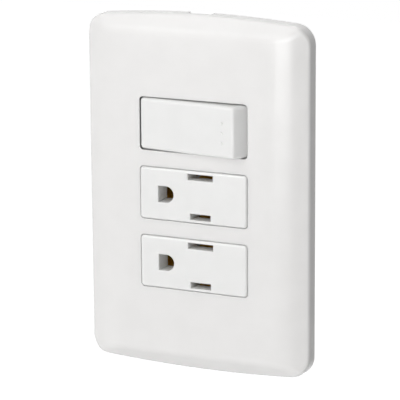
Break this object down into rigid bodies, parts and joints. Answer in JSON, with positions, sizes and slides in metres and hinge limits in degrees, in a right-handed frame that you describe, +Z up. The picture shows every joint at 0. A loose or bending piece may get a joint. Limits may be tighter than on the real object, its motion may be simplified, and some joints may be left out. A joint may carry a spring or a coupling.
{
  "type": "switch and socket combination",
  "caption": "Upright wall plate with a tilting rocker switch above earthed sockets, on a frame that screws to a wall box.",
  "frame": {"origin": "midway between the two box screws, in the plane of the wall's face", "axes": "+X to the right seen from the room, +Y into the wall along the box screws, +Z up the long side of the plate"},
  "size_m": [0.0762, 0.0349, 0.1142],
  "materials": {
    "plate_plastic": "satin gloss white moulding",
    "module_plastic": "satin gloss white moulding",
    "housing_plastic": "matte pale grey moulding",
    "frame_plastic": "matte pale grey moulding",
    "plunger_plastic": "natural moulding",
    "brass": "rolled sheet",
    "silver": "bright silver contact",
    "steel": "zinc plated"
  },
  "bodies": {
    "base": {"face_plate": "plate_plastic", "mounting_frame": "frame_plastic", "box_screws": "steel", "switch_cover": "module_plastic", "switch_housing": "housing_plastic", "common_terminal": "brass", "switched_terminal": "brass", "fixed_contact_tip": "silver", "switch_clamp_plates": "steel", "switch_terminal_screws": "steel", "socket_1_face": "module_plastic", "socket_1_housing": "housing_plastic", "socket_1_neutral_contact": "brass", "socket_1_line_contact": "brass", "socket_1_earth_contact": "brass", "socket_1_clamp_plates": "steel", "socket_1_terminal_screws": "steel", "socket_2_face": "module_plastic", "socket_2_housing": "housing_plastic", "socket_2_neutral_contact": "brass", "socket_2_line_contact": "brass", "socket_2_earth_contact": "brass", "socket_2_clamp_plates": "steel", "socket_2_terminal_screws": "steel"},
    "rocker_body": {"rocker": "module_plastic", "plunger": "plunger_plastic", "plunger_spring": "steel"},
    "seesaw_body": {"seesaw_contact": "brass", "moving_contact_tip": "silver"}
  },
  "joints": [
    {"name": "rocker_tilt", "type": "hinge", "parent": "base", "child": "rocker_body", "pos_m": [0, 0.0018, 0.02212], "axis": [0, 0, 1], "range_deg": [0, 13]},
    {"name": "contact_tilt", "type": "hinge", "parent": "base", "child": "seesaw_body", "pos_m": [0, 0.01381, 0.02212], "axis": [0, 0, 1], "range_deg": [-13, 0]}
  ],
  "couplings": [
    {"joint": "contact_tilt", "follows": "rocker_tilt", "ratio": -1}
  ]
}
